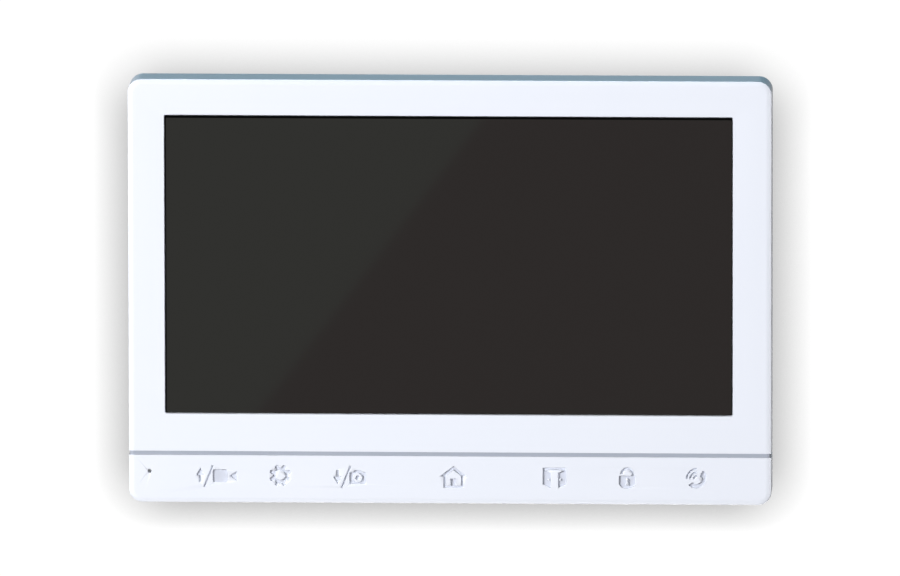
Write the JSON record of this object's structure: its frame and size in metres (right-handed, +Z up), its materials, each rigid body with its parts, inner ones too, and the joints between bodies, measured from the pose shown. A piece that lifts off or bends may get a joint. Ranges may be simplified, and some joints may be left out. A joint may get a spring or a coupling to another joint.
{
  "type": "video intercom monitor",
  "caption": "Wall-hung indoor video intercom monitor with a dark display window above a strip of touch keys, hooked on a steel wall bracket.",
  "frame": {"origin": "centre of the wall bracket's screw pattern, on the wall plane", "axes": "+Z up, +Y from the front of the monitor into the wall, +X to the right as seen from the front"},
  "size_m": [0.19, 0.022, 0.1264],
  "materials": {
    "housing_white": "smooth satin-gloss white ABS",
    "cover_white": "fine-textured white ABS",
    "trim_grey": "satin grey",
    "icon_grey": "translucent light grey",
    "lens_dark": "polished smoked acrylic",
    "adhesive": "black adhesive foam",
    "foam_black": "soft foam",
    "steel": "bright zinc-plated steel",
    "steel_plate": "galvanised sheet",
    "screw_steel": "zinc-plated",
    "lcd_glass": "polished cell with polarisers",
    "light_guide": "clear acrylic with films",
    "white_frame": "white polycarbonate",
    "film_amber": "polyimide film",
    "board_green": "solder mask",
    "chip_black": "epoxy",
    "ferrite": "sintered ferrite",
    "can_aluminium": "drawn can",
    "ceramic_part": "glazed",
    "connector_cream": "nylon",
    "pin_metal": "tinned brass",
    "cell_steel": "polished",
    "card_black": "fine satin",
    "lever_white": "satin",
    "led_yellow": "resin",
    "ribbon_white": "satin film",
    "rubber_black": "soft",
    "lead_red": "PVC sleeve",
    "lead_black": "PVC sleeve",
    "magnet_black": "zinc phosphate",
    "cone_paper": "pressed paper",
    "copper": "enamelled wire",
    "cloth_black": "woven cloth",
    "label_silver": "satin polyester film"
  },
  "bodies": {
    "bracket": {"wall_bracket": "steel_plate"},
    "monitor": {"front_housing": "housing_white", "trim_strip": "trim_grey", "window_lens": "lens_dark", "lens_tape": "adhesive", "lcd_cushion": "foam_black", "lcd_bezel": "steel", "lcd_glass": "lcd_glass", "lcd_backlight_frame": "white_frame", "lcd_light_guide": "light_guide", "lcd_reflector": "steel", "lcd_brackets": "steel_plate", "lcd_bracket_screws": "screw_steel", "lcd_flex": "film_amber", "key_light_baffle": "white_frame", "touch_board": "board_green", "touch_pads": "foam_black", "key_leds": "led_yellow", "touch_components": "chip_black", "touch_board_screws": "screw_steel", "touch_ribbon": "ribbon_white", "microphone": "can_aluminium", "microphone_boot": "rubber_black", "microphone_leads": "lead_red", "main_board": "board_green", "main_chips": "chip_black", "board_inductors": "ferrite", "board_capacitors": "can_aluminium", "board_passives": "ceramic_part", "board_connectors": "connector_cream", "clock_cell": "cell_steel", "clock_cell_holder": "chip_black", "line_sockets": "connector_cream", "power_socket": "connector_cream", "socket_pins": "pin_metal", "card_socket": "steel", "switch_body": "chip_black", "board_screws": "screw_steel", "speaker_basket": "steel_plate", "speaker_magnet": "magnet_black", "speaker_surround": "rubber_black", "speaker_gasket": "foam_black", "speaker_cloth": "cloth_black", "speaker_clips": "steel_plate", "speaker_clip_screws": "screw_steel", "speaker_leads": "lead_black", "rear_cover": "cover_white", "case_screws": "screw_steel", "rating_label": "label_silver", "icon_up_record": "icon_grey", "icon_settings": "icon_grey", "icon_down_photo": "icon_grey", "icon_home_mark": "icon_grey", "icon_gate": "icon_grey", "icon_unlock": "icon_grey", "icon_talk": "icon_grey"},
    "switch": {"switch_lever": "lever_white"},
    "card": {"memory_card": "card_black"},
    "cone": {"speaker_cone": "cone_paper", "voice_coil": "copper"}
  },
  "joints": [
    {"name": "lift_off", "type": "slide", "parent": "bracket", "child": "monitor", "axis": [0, 0, 1], "range_m": [0, 0.0064]},
    {"name": "power_slide", "type": "slide", "parent": "monitor", "child": "switch", "axis": [0, 0, 1], "range_m": [0, 0.002]},
    {"name": "card_slide", "type": "slide", "parent": "monitor", "child": "card", "axis": [1, 0, 0], "range_m": [0, 0.013]},
    {"name": "cone_travel", "type": "slide", "parent": "monitor", "child": "cone", "axis": [0, 1, 0], "range_m": [-0.0004, 0.0004], "stiffness_N_per_m": 1000, "deforming": ["speaker_surround"]}
  ]
}
